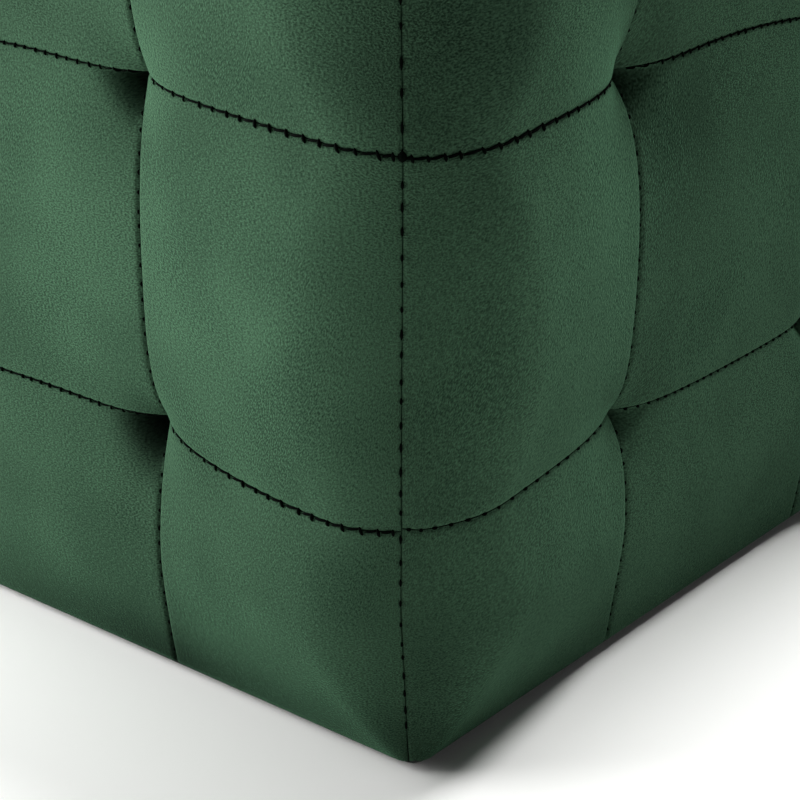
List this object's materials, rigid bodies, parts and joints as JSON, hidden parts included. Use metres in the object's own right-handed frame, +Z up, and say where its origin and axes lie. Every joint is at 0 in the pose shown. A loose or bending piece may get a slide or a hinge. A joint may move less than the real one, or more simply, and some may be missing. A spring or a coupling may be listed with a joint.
{
  "type": "cube pouf stool",
  "caption": "Soft cube pouf stool: a filled velvet cube quilted in a grid of puffed cells, tufted where the seams cross, with a flat underside.",
  "frame": {"origin": "middle of the flat underside, on the surface that the pouf stands on", "axes": "+Z up; the front panel faces -Y and the right panel faces +X, so that the corner in the picture is at +X -Y"},
  "size_m": [0.379, 0.379, 0.3549],
  "materials": {
    "velvet": "short-pile bottle-green velvet with a soft sheen",
    "underside_cloth": "plain black woven cloth"
  },
  "bodies": {
    "root": {"front_panel": "velvet", "right_panel": "velvet", "back_panel": "velvet", "left_panel": "velvet", "top_panel": "velvet", "underside_panel": "underside_cloth"}
  },
  "joints": []
}
